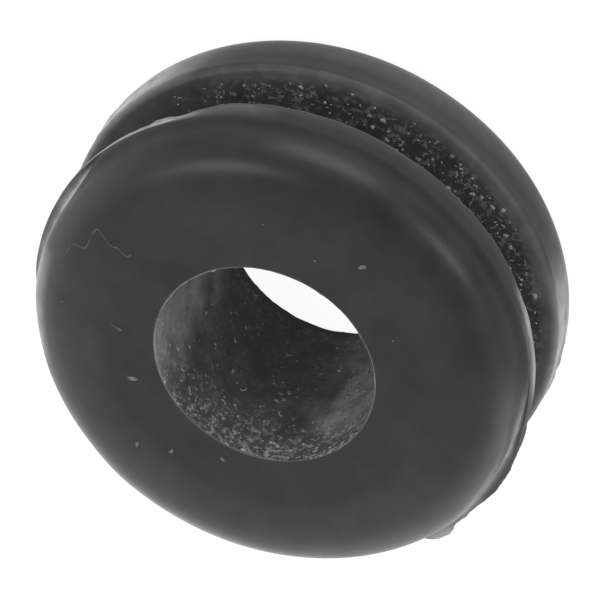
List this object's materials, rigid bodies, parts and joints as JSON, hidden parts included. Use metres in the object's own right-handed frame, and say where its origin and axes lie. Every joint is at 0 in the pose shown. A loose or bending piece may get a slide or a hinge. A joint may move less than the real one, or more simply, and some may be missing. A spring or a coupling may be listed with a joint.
{
  "type": "rubber grommet",
  "caption": "Round black rubber grommet: a soft ring with two radiused flanges, a groove between them that holds a panel's edge, and a bore that a cable passes through.",
  "frame": {"origin": "centre of the ring: on the bore's axis, half way between the two end faces, at the middle of the panel groove", "axes": "+Z along the bore's axis; X and Y in the plane of the panel that the groove holds"},
  "size_m": [0.0142, 0.0142, 0.0064],
  "materials": {
    "rubber": "moulded black rubber, satin on its faces, dusted with pale talc in the groove and the bore"
  },
  "bodies": {
    "root": {"grommet": "rubber"}
  },
  "joints": []
}
